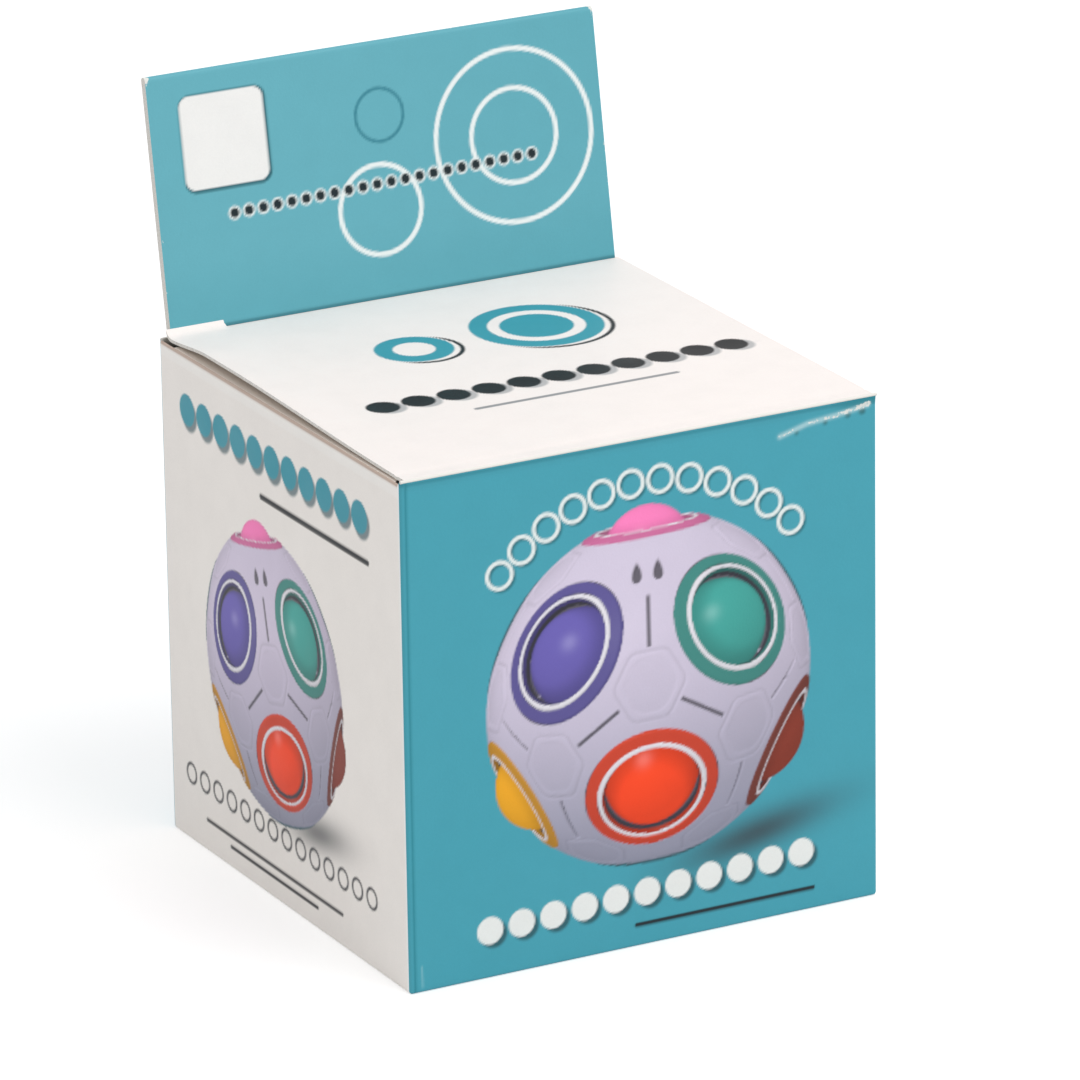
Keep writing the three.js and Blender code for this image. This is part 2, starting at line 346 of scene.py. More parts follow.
def shellPattern(points):
    # For each point of the outer skin: how far it moves outwards, and how fine the skin has to be there.
    s = shellSettings
    units = points / np.linalg.norm(points, axis=1)[:, None]
    relief, detail = np.zeros(len(points)), np.zeros(len(points))
    axes = list(socketAxes.values())
    pole = socketAxes["pink"]
    drops = sum((socketAxes[colour] for colour in ("pink", "violet", "green")), Vector()).normalized()
    for corners in combinations(axes, 3):
        if min(a.dot(b) for a, b in combinations(corners, 2)) < s["neighbours"]:
            continue
        middle = sum(corners, Vector()).normalized()
        near = units @ np.array(middle) > s["patchArea"]
        atDrops = middle.dot(drops) > s["sameWay"]
        up = pole if atDrops else corners[0]
        up = (up - middle * up.dot(middle)).normalized()
        along = units[near] @ np.array(up) * shellRadius
        across = units[near] @ np.array(middle.cross(up)) * shellRadius
        if atDrops:
            t = np.clip((along + s["dropShift"]) / s["dropLength"] + 0.5, 0, 1)
            width = s["dropWidth"] / 2 * np.sqrt(4 * t * (1 - t)) * (1.25 - 0.75 * t)
            inside = width - np.abs(np.abs(across) - s["dropSpacing"] / 2)
            relief[near] -= s["dropDepth"] * smooth(inside, 0, 0.4 * mm)
            detail[near] = np.maximum(detail[near], 2 * (inside > -0.7 * mm))
            continue
        edge = polygonDistance(along, across, s["patchReach"], s["patchCorner"])
        dish = polygonDistance(along, across, s["patchReach"] - s["dishInset"], s["dishCorner"])
        relief[near] -= s["grooveDepth"] * np.exp(-(edge / s["grooveWidth"]) ** 2)
        relief[near] -= s["dishDepth"] * smooth(-dish, -0.2 * mm, 0.35 * mm)
        lined = (np.abs(edge) < 0.9 * mm) | (np.abs(dish) < 0.6 * mm)
        detail[near] = np.maximum(detail[near], lined)
    for a, b in combinations(axes, 2):
        if a.dot(b) < s["neighbours"] or max(abs(a.dot(pole)), abs(b.dot(pole))) > s["sameWay"]:
            continue
        middle, side = (a + b).normalized(), (a - b).normalized()
        near = units @ np.array(middle) > s["slotArea"]
        across = np.abs(units[near] @ np.array(side)) * shellRadius
        along = np.abs(units[near] @ np.array(middle.cross(side))) * shellRadius
        inside = np.minimum(s["slotWidth"] / 2 - across, s["slotLength"] / 2 - along)
        relief[near] -= s["slotDepth"] * smooth(inside, -0.08 * mm, 0.2 * mm)
        detail[near] = np.maximum(detail[near], 2 * (inside > -0.6 * mm))
    return relief, detail


def coordinates(bm):
    return np.array([vert.co for vert in bm.verts])


def movePoints(bm, points):
    for vert, point in zip(bm.verts, points):
        vert.co = point


def refine(bm, level, cuts):    # smaller faces where the pattern asks for at least that level
    wanted = shellPattern(coordinates(bm))[1] >= level
    bm.verts.index_update()
    edges = [edge for edge in bm.edges if wanted[edge.verts[0].index] and wanted[edge.verts[1].index]]
    bmesh.ops.subdivide_edges(bm, edges=edges, cuts=cuts, use_grid_fill=True)


def cutOpenings(bm, radius, openingRadius, direction):    # leaves one half of the ball, with its six openings
    cuts = [(Vector((0, 0, direction * shellSettings["seam"] / 2)), Vector((0, 0, -direction)))]
    height = onSphere(radius, openingRadius)[1]
    cuts += [(axis * height, axis) for axis in socketAxes.values() if axis.z * direction > 0]
    for place, normal in cuts:
        everything = bm.verts[:] + bm.edges[:] + bm.faces[:]
        bmesh.ops.bisect_plane(bm, geom=everything, dist=1e-5, plane_co=place, plane_no=normal,
                               clear_outer=True)


def outerSkin(openingRadius, direction):
    bm = bmesh.new()
    bmesh.ops.create_icosphere(bm, subdivisions=shellSettings["fineness"], radius=shellRadius)
    refine(bm, 1, 2)
    refine(bm, 2, 1)
    cutOpenings(bm, shellRadius, openingRadius, direction)
    points = coordinates(bm)
    lengths = np.linalg.norm(points, axis=1)
    movePoints(bm, points * ((shellRadius + shellPattern(points)[0]) / lengths)[:, None])
    return bm


def innerSkin(openingRadius, direction):
    bm = bmesh.new()
    radius = shellRadius - shellSettings["wall"]
    bmesh.ops.create_icosphere(bm, subdivisions=6, radius=radius)
    cutOpenings(bm, radius, openingRadius, direction)
    return bm


def rimsOf(bm):    # the open edges, grouped by socket and skin, and those at the seam
    s = shellSettings
    groups = {}
    axes = np.array(list(socketAxes.values()))
    for edge in bm.edges:
        if edge.is_boundary:
            middle = (edge.verts[0].co + edge.verts[1].co) / 2
            outside = middle.length > shellRadius - s["wall"] / 2
            key = (int(np.argmax(axes @ np.array(middle))), outside)
            if abs(middle.z) < 2 * s["seam"]:
                key = "seam"
            groups.setdefault(key, []).append(edge)
    return groups.pop("seam"), list(groups.values())


def socketProfile():    # from the skin's opening, down the ring's recess, over the lip and through the hole
    s = shellSettings
    recess = ringRadius + s["ringGap"]
    floor = shellRadius - s["recessDepth"]
    outer = onSphere(shellRadius, recess + s["edgeSoftness"])
    inner = onSphere(shellRadius - s["wall"], s["hole"])
    points = [
        outer,
        (recess, onSphere(shellRadius, recess)[1]),
        onSphere(floor, recess),
        onSphere(floor, s["lip"]),
        onSphere(shellRadius, s["lip"]),
        onSphere(shellRadius, s["flare"]),
        (s["hole"], inner[1] + s["wall"] / 4),
        inner,
    ]
    return rounded(points, s["edgeSoftness"], 4)


def shellHalf(name, direction, node):
    s = shellSettings
    profile = socketProfile()
    bm = outerSkin(profile[0][0] + s["openingMargin"], direction)
    addTo(bm, innerSkin(profile[-1][0] + s["openingMargin"], direction))
    for axis in socketAxes.values():
        if axis.z * direction > 0:
            addTo(bm, turned(profile, axis, s["segments"]))
    seamRims, socketRims = rimsOf(bm)
    for rims in socketRims:
        bmesh.ops.bridge_loops(bm, edges=rims)
    bmesh.ops.triangle_fill(bm, edges=seamRims, use_beauty=True, normal=(0, 0, 1))
    bmesh.ops.recalc_face_normals(bm, faces=bm.faces[:])
    bmesh.ops.translate(bm, verts=bm.verts[:], vec=puzzleCentre)
    return finishPiece(bm, name, [shellMaterial], "puzzle", [node], 32)


ringRadius = (ringHigh.x - ringLow.x) / 2
upperHalf = shellHalf("shell_upper_moulding", 1, "shell_upper")
lowerHalf = shellHalf("shell_lower_moulding", -1, "shell_lower")
print("shell halves", len(upperHalf.data.polygons), len(lowerHalf.data.polygons))


ringSettings = {
    "inner": 11.35 * mm,
    "proud": 0.2 * mm,
    "thickness": 1.0 * mm,
    "softness": 0.28 * mm,
    "segments": 120,
}


def ringInlay(colour):
    s = ringSettings
    top, bottom = shellRadius + s["proud"], shellRadius + s["proud"] - s["thickness"]
    middle = (s["inner"] + ringRadius) / 2
    points = [
        onSphere(bottom, middle), onSphere(bottom, ringRadius), onSphere(top, ringRadius),
        onSphere(top, s["inner"]), onSphere(bottom, s["inner"]), onSphere(bottom, middle),
    ]
    bm = turned(rounded(points, s["softness"]), socketAxes[colour], s["segments"])
    bmesh.ops.remove_doubles(bm, verts=bm.verts[:], dist=1e-7)
    bmesh.ops.recalc_face_normals(bm, faces=bm.faces[:])
    bmesh.ops.translate(bm, verts=bm.verts[:], vec=puzzleCentre)
    material = mouldedPlastic("ring_" + colour, ballColours[colour], 0.42)
    node = "ring_" + colour
    return finishPiece(bm, "ring_inlay_" + colour, [material], "puzzle", [node], 60)


def looseBall(colour):
    node = "ball_" + colour
    low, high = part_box(node)
    place = Matrix.Translation((low + high) / 2)
    bm = bmesh.new()
    bmesh.ops.create_icosphere(bm, subdivisions=6, radius=ballRadius, matrix=place)
    material = mouldedPlastic(node, ballColours[colour], 0.27, 0.02, 0.3)
    return finishPiece(bm, "glossy_" + node, [material], "loose_" + colour, [node], 60)


rings = [ringInlay(colour) for colour in ballColours]
balls = [looseBall(colour) for colour in ballColours if colour != emptySocket]

coreBm = bmesh.new()
bmesh.ops.create_icosphere(coreBm, subdivisions=6, radius=coreRadius, matrix=Matrix.Translation(puzzleCentre))
core = finishPiece(coreBm, "core_foam_ball", [coreMaterial], "puzzle", ["soft_core"])
print("rings, balls and core", len(rings), len(balls))


# A picture of the ball for the carton's prints, found by looking at the pieces made above.
pictureSettings = {
    "step": (0.2 * mm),
    "finerRays": 2,               # rays across each step
    "margin": 3.4 * mm,           # room round the shell for the balls that stand proud
    "distance": 479 * mm,         # from the viewer to the ball
    "elevation": 9.4,             # degrees that the viewer looks down
    "shown": ("pink", "violet", "green", "orange", "yellow", "brown"),
    "light": (-0.30, -0.62, 0.72),
    "ambient": 0.78,
    "lit": 0.27,
    "shine": 0.13,
    "shellShine": 0.03,
    "glossiness": 70,
    "shell": "dbd1e6",
    "shellShade": "a7a8bd",
    "lip": "eeebf2",
    "lipWidth": 1.0 * mm,
    "gap": "35343f",
    "gapDepth": 1.2 * mm,         # a socket's wall is dark below this depth
    "socketTint": 0.42,
    "ringTint": 0.68,
    "recessDepth": 0.6 * mm,      # so is the ring's recess
    "recessTint": 0.35,
    "ballMiddle": 1.1,            # a loose ball's brightness, and how much its rim loses
    "ballRim": 0.35,
    "rimRange": (0.62, 0.95),     # in ball radii from the socket's axis
    "shellRim": 0.18,             # how much the edge of the whole puzzle loses
    "shellRimRange": (0.05, 0.5),
    "shadeRange": (-0.5, 1.0),    # the shell darkens over this depth, in shell radii below its middle
    "reliefFrom": 0.13 * mm,
    "reliefRange": 0.45 * mm,
    "reliefShade": 0.45,
    "seamBand": 0.35 * mm,        # the seam between the halves is left out
    "hiddenRing": "3f7482",
    "tints": {
        "violet": "6a60b0", "green": "43a49b", "orange": "ff4a20", "yellow": "f0aa24", "brown": "8f3a2a",
    },
}


def lookUpTree(pieces):    # one search tree for all the pieces, and which piece each face belongs to
    bm, owners = bmesh.new(), []
    for index, piece in enumerate(pieces):
        bm.from_mesh(piece.data)
        owners += [index] * (len(bm.faces) - len(owners))
    return BVHTree.FromBMesh(bm), owners


def castRays(tree, owners, back, reach, count):    # each ray's place in the picture, and what it meets
    right = Vector((1, 0, 0))
    up = back.cross(right)
    eye = puzzleCentre + back * pictureSettings["distance"]
    places = (np.arange(count) + 0.5) / count * 2 * reach - reach
    cells, hits = [], []
    for row, height in enumerate(places):
        for column, across in enumerate(places):
            if across * across + height * height > reach * reach:
                continue
            aim = puzzleCentre + right * across + up * height - eye
            point, normal, face, _ = tree.ray_cast(eye, aim)
            if point is not None:
                cells.append((row, column))
                hits.append((*point, *normal, owners[face]))
    return np.array(cells), np.array(hits)


def pictureLight(normals, back):    # how lit each point is, and its highlight
    s = pictureSettings
    light = Vector(s["light"]).normalized()
    facing = np.clip(normals @ np.array(light), 0, 1)
    glint = np.clip(normals @ np.array((light + back).normalized()), 0, 1) ** s["glossiness"]
    return s["ambient"] + s["lit"] * facing, glint


def pictureInk(points, length, fromAxis, tints, isShell, isRing, isBall):
    # The ink of each point before it is lit, and which points are the plain outside of the shell.
    s = pictureSettings
    lip, flare = shellSettings["lip"], shellSettings["flare"]
    lower = smooth(-points[:, 2] / shellRadius, *s["shadeRange"])[:, None]
    ink = np.array(linear(s["shell"])) * (1 - lower) + np.array(linear(s["shellShade"])) * lower
    inSocket = isShell & (fromAxis < flare)
    ink[inSocket] = tints[inSocket] * s["socketTint"]
    ink[inSocket & (length < shellRadius - s["gapDepth"])] = linear(s["gap"])
    ink[isShell & (fromAxis > lip) & (length < shellRadius - s["recessDepth"])] *= s["recessTint"]
    onLip = isShell & (np.abs(fromAxis - (lip + flare) / 2) < s["lipWidth"] / 2)
    onLip &= length > shellRadius - shellSettings["recessDepth"]
    ink[onLip] = linear(s["lip"])
    ink[isRing] = tints[isRing] * s["ringTint"] + 0.02
    ink[isBall] = tints[isBall]
    return ink, isShell & ~inSocket & ~onLip


def ballPicture():
    s = pictureSettings
    colours = list(ballColours)
    filled = [colour for colour in colours if colour in s["shown"]]
    seenBalls = [ball for ball in balls if ball.name.removeprefix("glossy_ball_") in filled]
    pieces = [upperHalf, lowerHalf] + rings + seenBalls
    tree, owners = lookUpTree(pieces)
    elevation = math.radians(s["elevation"])
    back = Vector((0, -math.cos(elevation), math.sin(elevation)))
    reach = shellRadius + s["margin"]
    count = int(2 * reach / s["step"]) * s["finerRays"]
    cells, hits = castRays(tree, owners, back, reach, count)
    points, normals, owner = hits[:, :3] - puzzleCentre, hits[:, 3:6], hits[:, 6].astype(int)
    length = np.linalg.norm(points, axis=1)
    isShell, isBall = owner < 2, owner >= 2 + len(rings)
    seam = isShell & (np.abs(points[:, 2]) < s["seamBand"])
    normals[seam] = points[seam] / length[seam][:, None]
    length[seam] = shellRadius + shellPattern(points[seam])[0]
    for colour, piece in zip(filled, seenBalls):
        low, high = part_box("ball_" + colour)
        mine = owner == pieces.index(piece)
        normals[mine] = (points[mine] - np.array((low + high) / 2 - puzzleCentre)) / ballRadius
    axes = np.array([socketAxes[colour] for colour in colours])
    nearest = np.argmax(points @ axes.T, axis=1)
    alongAxis = (points * axes[nearest]).sum(1)[:, None] * axes[nearest]
    fromAxis = np.linalg.norm(points - alongAxis, axis=1)
    inks = {colour: s["hiddenRing"] for colour in colours if colour not in s["shown"]}
    inks.update(s["tints"])
    tints = np.array([linear(inks.get(colour, ballColours[colour])) for colour in colours])[nearest]
    ink, plain = pictureInk(points, length, fromAxis, tints, isShell, ~isShell & ~isBall, isBall)
    shade, glint = pictureLight(normals, back)
    rim = smooth(fromAxis / ballRadius, *s["rimRange"])
    shade = np.where(isBall, shade * (s["ballMiddle"] - s["ballRim"] * rim), shade)
    relief = np.clip((shellRadius - length - s["reliefFrom"]) / s["reliefRange"], 0, 1) * plain
    shellRim = 1 - smooth(normals @ np.array(back), *s["shellRimRange"])
    shade = shade * (1 - s["reliefShade"] * relief) * (1 - s["shellRim"] * shellRim)
    ink = ink * shade[:, None] + (glint * np.where(isBall, s["shine"], s["shellShine"]))[:, None]
    picture = np.zeros((count, count, 4))
    picture[cells[:, 0], cells[:, 1], :3] = ink
    picture[cells[:, 0], cells[:, 1], 3] = 1
    size = count // s["finerRays"]
    return picture.reshape(size, s["finerRays"], size, s["finerRays"], 4).mean(axis=(1, 3)), reach / mm


picture, pictureReach = ballPicture()
print("picture of the ball", picture.shape[0])


# Inks: all lengths from here to the boards are in millimetres on the printed face.
def lay(ink, code, share):
    ink += (np.array(linear(code)) - ink) * np.clip(share, 0, 1)[:, None]


def crisp(distance, blur=0.24):    # how much ink lies at a signed distance from a printed edge
    return np.clip(0.5 - distance / blur, 0, 1)


def disc(x, y, centre, radius):
    return np.hypot(x - centre[0], y - centre[1]) - radius


def circle(x, y, centre, radius, line):
    return np.abs(disc(x, y, centre, radius)) - line / 2


def bar(x, y, start, end, width):
    startX, startY = start
    runX, runY = end[0] - startX, end[1] - startY
    along = np.clip(((x - startX) * runX + (y - startY) * runY) / (runX ** 2 + runY ** 2), 0, 1)
    return np.hypot(x - startX - along * runX, y - startY - along * runY) - width / 2


def tile(x, y, centre, width, height, corner):
    acrossX = np.abs(x - centre[0]) - width / 2 + corner
    acrossY = np.abs(y - centre[1]) - height / 2 + corner
    outside = np.hypot(np.maximum(acrossX, 0), np.maximum(acrossY, 0))
    return outside + np.minimum(np.maximum(acrossX, acrossY), 0) - corner


def dots(x, y, start, end, count, radius):    # distance to a row of round dots
    centres = np.linspace(start, end, count)
    return np.min([disc(x, y, centre, radius) for centre in centres], axis=0)


def layDots(ink, x, y, row, colour, shadow=None):
    if shadow:
        offset = 0.3 * row["radius"]
        lay(ink, shadow, 0.8 * crisp(dots(x - offset, y + offset, **row), 0.5))
    lay(ink, colour, crisp(dots(x, y, **row)))


def turnedPlace(x, y, centre, turn):    # along and across a frame turned about centre
    angle = math.radians(turn)
    fromX, fromY = x - centre[0], y - centre[1]
    along = fromX * math.cos(angle) + fromY * math.sin(angle)
    return along, fromY * math.cos(angle) - fromX * math.sin(angle)


def layPicture(ink, x, y, centre, scale, turn):
    across, height = turnedPlace(x, y, centre, turn)
    size = picture.shape[0]
    column = (across / scale / pictureReach + 1) / 2 * size - 0.5
    row = (height / scale / pictureReach + 1) / 2 * size - 0.5
    inside = (column > 0) & (column < size - 1) & (row > 0) & (row < size - 1)
    c, r = column[inside], row[inside]
    c0, r0 = np.floor(c).astype(int), np.floor(r).astype(int)
    fc, fr = (c - c0)[:, None], (r - r0)[:, None]
    texel = (picture[r0, c0] * (1 - fc) + picture[r0, c0 + 1] * fc) * (1 - fr)
    texel += (picture[r0 + 1, c0] * (1 - fc) + picture[r0 + 1, c0 + 1] * fc) * fr
    ink[inside] = ink[inside] * (1 - texel[:, 3:]) + texel[:, :3]


def layShadow(ink, x, y, centre, halfLength, halfHeight, turn, depth):
    along, across = turnedPlace(x, y, centre, turn)
    lay(ink, "3c4146", depth * np.exp(-((along / halfLength) ** 2 + (across / halfHeight) ** 2)))


def startInk(x, ground):
    return np.tile(np.array(linear(ground)), (len(x), 1)), np.zeros(len(x))


frontPrint = {
    "ground": "49a6b8",
    "ball": {"centre": (0.83, 39.66), "scale": 0.764, "turn": 0.65},
    "shadow": {"centre": (18.5, 14.0), "halfLength": 13, "halfHeight": 3.0, "turn": 11, "depth": 0.85},
    "arc": {"centre": (0.5, 38.4), "radius": 33.3, "sweep": 46, "count": 12, "size": 2.0, "line": 0.6},
    "titleDots": {"start": (-25.9, 7.4), "end": (26.0, 9.4), "count": 11, "radius": 2.15},
    "rule": ((-1.7, 3.4), (28, 3.4), 0.7),
    "foldShadeLine": (77.75, 0.3),     # painted shade: thin dark line along the top fold
    "foldDarkerEnd": ((30, 36), (76.7, 77.1)),    # darker towards the right end of the fold
    "tear": [((22.8, 74.5), (27.4, 75.7)), ((27.4, 75.7), (32.5, 76.2)), ((32.5, 76.2), (37.6, 76.9))],
    "tearWidth": 0.15,
    "tearGrows": (27, 35),        # the tear is wider and barer past here
    "cornerShadeLine": (0.3, 0.4),     # painted shade: thin dark line down the left corner fold: how far in, and its width
    "scuffs": [((34.2, 75.9), 0.45), ((36.6, 76.1), 0.55), ((30.4, 75.4), 0.35), ((25.6, 74.6), 0.3)],
    "cornerCrease": ((-37.0, 0.9), (-37.1, 4.0), 0.22),
}


def inkFront(x, y):
    s = frontPrint
    ink, wear = startInk(x, s["ground"])
    layShadow(ink, x, y, **s["shadow"])
    layPicture(ink, x, y, **s["ball"])
    arc = s["arc"]
    middleX, middleY = arc["centre"]
    rowOfRings = []
    for angle in np.radians(np.linspace(-arc["sweep"], arc["sweep"], arc["count"])):
        centre = (middleX + arc["radius"] * math.sin(angle), middleY + arc["radius"] * math.cos(angle))
        rowOfRings.append((centre, arc["size"], arc["line"]))
    shadows = [crisp(circle(x - 0.35, y + 0.35, *ring), 0.4) for ring in rowOfRings]
    lay(ink, "1f5a63", 0.7 * np.max(shadows, axis=0))
    lay(ink, "eef6f4", np.max([crisp(circle(x, y, *ring)) for ring in rowOfRings], axis=0))
    layDots(ink, x, y, s["titleDots"], "f4f6f3", "27474d")
    lay(ink, "1d2a30", crisp(bar(x, y, *s["rule"])))
    corner = innerHalf / mm
    foldHeight, foldWidth = s["foldShadeLine"]
    lineIn, lineWidth = s["cornerShadeLine"]
    acrossDarker, upDarker = s["foldDarkerEnd"]
    # painted shade: dark line along the top fold
    lay(ink, "1f7686", 0.75 * crisp(np.abs(y - foldHeight) - foldWidth / 2, 0.3))
    # painted shade: dark line down the left corner fold
    lay(ink, "2a8796", 0.8 * crisp(np.abs(x + corner - lineIn) - lineWidth / 2, 0.3))
    # darker band towards the right end of the top fold
    lay(ink, "2b8796", 0.8 * smooth(x, *acrossDarker) * smooth(y, *upDarker))
    for spot, radius in s["scuffs"]:
        lay(ink, "2c5f60", 0.75 * crisp(disc(x, y, spot, radius), 0.5))
    lay(ink, "8cc7d0", 0.8 * crisp(bar(x, y, *s["cornerCrease"]), 0.3))
    tear = np.min([bar(x, y, start, end, s["tearWidth"]) for start, end in s["tear"]], axis=0)
    tear = np.maximum(tear, 0)
    grown = smooth(x, *s["tearGrows"])
    lay(ink, "b9dde2", 0.75 * np.exp(-(tear / 0.35) ** 2))
    wear += (0.44 + 0.12 * grown) * np.exp(-(tear / (0.5 + 0.2 * grown)) ** 2)
    wear += 0.15 * smooth(y, 76.9, 77.6) + 0.12 * smooth(np.abs(x), corner - 0.6, corner)
    return ink, wear


sidePrint = {
    "ground": "fbf6f1",
    "ball": {"centre": (-2.85, 35.4), "scale": 0.64, "turn": 13},
    "shadow": {"centre": (10.5, 15.5), "halfLength": 10, "halfHeight": 2.8, "turn": 8, "depth": 0.8},
    "titleDots": {"start": (-30, 69.3), "end": (26, 69.3), "count": 11, "radius": 2.5},
    "topRule": ((-5.6, 63), (28.4, 63), 0.9),
    "thinRings": {"start": (-32, 11.0), "end": (27.4, 11.0), "count": 14, "radius": 1.55, "line": 0.5},
    "rules": [((-27, 5.2), (17.7, 5.2), 0.6), ((-19, 3.5), (9.6, 3.5), 0.6)],
    "topHighlight": 75.7,              # painted highlight: paler from here up, where the rounded top catches the light
    "gapShade": 77.3,             # and in shade from here up, under the lid
    # painted highlight: width of the white line along the corner fold
    "foldHighlight": 0.4,
}


def inkSide(x, y):
    s = sidePrint
    ink, wear = startInk(x, s["ground"])
    layShadow(ink, x, y, **s["shadow"])
    layPicture(ink, x, y, **s["ball"])
    layDots(ink, x, y, s["titleDots"], "3f9bad", "2c5a66")
    thin = s["thinRings"]
    for centre in np.linspace(thin["start"], thin["end"], thin["count"]):
        lay(ink, "4a4b4e", crisp(circle(x, y, centre, thin["radius"], thin["line"])))
    for rule in [s["topRule"]] + s["rules"]:
        lay(ink, "26282c", crisp(bar(x, y, *rule)))
    # painted highlight along the rounded top edge
    lay(ink, "fffcf8", 0.7 * crisp(s["topHighlight"] - y, 0.4))
    lay(ink, "c9b4a6", crisp(s["gapShade"] - y, 0.3))
    # painted highlight along the corner fold at the panel's right-hand end
    lay(ink, "ffffff", crisp(innerHalf / mm - s["foldHighlight"] - x, 0.3))
    wear += 0.2 * smooth(np.abs(x), innerHalf / mm - 1.0, innerHalf / mm)
    return ink, wear


lidPrint = {
    "ground": "fff7f3",
    "sockets": [
        {"centre": (-9.5, 13.4), "radius": 6.0, "disc": False},
        {"centre": (11.5, 14.2), "radius": 10.2, "disc": True},
    ],
    "socketLine": 2.8,
    "socketInk": "3d9fb0",
    "titleDots": {"start": (-26, -8.5), "end": (32, -8.5), "count": 11, "radius": 2.55},
    "rule": ((-14.5, -16), (18.6, -16), 0.9),
    "crease": -36.6,
}


def inkLid(x, y):
    s = lidPrint
    ink, wear = startInk(x, s["ground"])
    for socket in s["sockets"]:
        (middleX, middleY), radius = socket["centre"], socket["radius"]
        lay(ink, "16181b", crisp(circle(x, y, (middleX + 0.9, middleY - 0.9), radius, 0.7)))
        lay(ink, s["ground"], crisp(disc(x, y, (middleX, middleY), radius + 0.25)))
        line = s["socketLine"]
        lay(ink, s["socketInk"], crisp(circle(x, y, (middleX, middleY), radius - line / 2, line)))
        if socket["disc"]:
            lay(ink, s["socketInk"], crisp(disc(x, y, (middleX, middleY), radius - 4.6)))
    layDots(ink, x, y, s["titleDots"], "0c0c0e", "a9aaac")
    lay(ink, "9a9b9d", crisp(bar(x, y, *s["rule"])))
    wear += 0.15 * smooth(np.abs(x), 37.4, 38.4) + 0.1 * smooth(-y, 38.0, 39.0)
    return ink, wear


headerPrint = {
    # painted light: this teal is lighter than the front's, for the light and sheen that the header's backward
    # lean catches
    "ground": "67b2c0",
    "patch": ((-25.7, 27.5), 13.9, 14.1, 1.6),
    "hangHole": ((0.3, 27.2), 4.0, 0.5),
    "outlines": [((22.5, 20.8), 13.2, 0.75), ((22.5, 20.8), 7.2, 0.75), ((-1.0, 13.0), 6.8, 0.75)],
    "dots": {"start": (-25.2, 16.2), "end": (25.2, 17.6), "count": 22, "radius": 0.75},
}


def headerWear(x, y):    # at the side edges and the top fold
    return 0.38 * smooth(np.abs(x), 36.6, 37.6) + 0.3 * smooth(y, 36.9, 38.2)


def inkHeader(x, y):
    s = headerPrint
    ink, wear = startInk(x, s["ground"])
    # painted shade: the header darkens towards its foot and towards its right side
    lay(ink, "4f9fae", 0.3 * smooth(-y, -12, -0.5) + 0.2 * smooth(x, -10, 38))
    for outline in s["outlines"]:
        lay(ink, "f0f7f6", crisp(circle(x, y, *outline)))
    lay(ink, "3b8797", crisp(circle(x, y, *s["hangHole"])))
    lay(ink, "e9f2f1", crisp(dots(x, y, **{**s["dots"], "radius": 1.05}), 0.3))
    lay(ink, "16262b", crisp(dots(x, y, **s["dots"])))
    centre, width, height, corner = s["patch"]
    edge = tile(x - 0.15, y + 0.15, centre, width + 0.7, height + 0.7, corner + 0.3)
    lay(ink, "2f6873", crisp(edge))
    lay(ink, "f4f4f2", crisp(tile(x, y, *s["patch"])))
    # painted shade: dark line at the foot of the header, in the crease behind the lid
    lay(ink, "33707c", 0.7 * crisp(y - 0.05, 0.3))
    return ink, wear + headerWear(x, y)


def inkPlainTeal(x, y):
    ink, wear = startInk(x, headerPrint["ground"])
    return ink, wear + headerWear(x, y)


# painted bounce light: the flaps' white is warmed, for the dust flaps seen in the shaded gap under the lid
def inkBounceWarmWhite(x, y):
    return startInk(x, "fbeee4")


boardSettings = {
    "step": (0.28 * mm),      # between the points of a printed face
    "plainStep": 1.5 * mm,
    "arcSteps": 5,
    "bow": 0.25 * mm,
    "swell": 0.23 * mm,           # the front panel meets the outside of the lid's fold
    "swellHeight": 1.5 * mm,
}


def steps(start, end, step):
    return np.linspace(start, end, max(2, int(round((end - start) / step)) + 1))


def unitSheet(columns, rows):    # a flat grid, one unit each way, whose points are moved into place later
    bm = bmesh.new()
    bmesh.ops.create_grid(bm, x_segments=columns - 1, y_segments=rows - 1, size=0.5)
    return bm


def capBack(bm):    # edges all round, one unit deep, and a single flat face behind
    made = bmesh.ops.extrude_edge_only(bm, edges=[edge for edge in bm.edges if edge.is_boundary])["geom"]
    rim = [item for item in made if isinstance(item, bmesh.types.BMVert)]
    bmesh.ops.translate(bm, verts=rim, vec=(0, 0, -1))
    bmesh.ops.edgeloop_fill(bm, edges=[edge for edge in bm.edges if edge.is_boundary])
    bmesh.ops.recalc_face_normals(bm, faces=bm.faces[:])


def doubleBack(bm):    # edges all round, and the same grid again one unit behind
    made = bmesh.ops.extrude_face_region(bm, geom=bm.faces[:])["geom"]
    bmesh.ops.translate(bm, verts=[v for v in made if isinstance(v, bmesh.types.BMVert)], vec=(0, 0, -1))
    bmesh.ops.recalc_face_normals(bm, faces=bm.faces[:])


def setInk(bm, ink, wear):
    inkLayer = bm.verts.layers.float_color.new("print")
    wearLayer = bm.verts.layers.float.new("wear")
    for vert, colour, worn in zip(bm.verts, ink, wear):
        vert[inkLayer] = (*colour, 1)
        vert[wearLayer] = worn


def boardPiece(name, bm, shape, place, paint, body, nodes):
    # shape is the grid's (columns, rows). place gives each point's spot on the print, in millimetres,
    # and its place in space.
    unit = coordinates(bm)
    for face in bm.faces:
        depth = face.calc_center_median().z
        face.material_index = 0 if depth > -0.25 else 1 if depth < -0.75 else 2
    column = np.rint((unit[:, 0] + 0.5) * (shape[0] - 1)).astype(int)
    row = np.rint((unit[:, 1] + 0.5) * (shape[1] - 1)).astype(int)
    onPrint, placed = place(column, row, unit[:, 2] < -0.5)
    setInk(bm, *paint(onPrint[:, 0], onPrint[:, 1]))
    movePoints(bm, placed)
    atEdges = [v for v in bm.verts if v.is_boundary or len(v.link_edges) != 4]
    bmesh.ops.remove_doubles(bm, verts=atEdges, dist=1e-6)
    return finishPiece(bm, name, boardMaterials, body, nodes)


def inSpace(origin, *parts):    # origin plus each (direction, distances) pair
    points = np.tile(np.array(origin, float), (len(parts[0][1]), 1))
    for direction, distances in parts:
        points += np.outer(distances, np.array(direction))
    return points


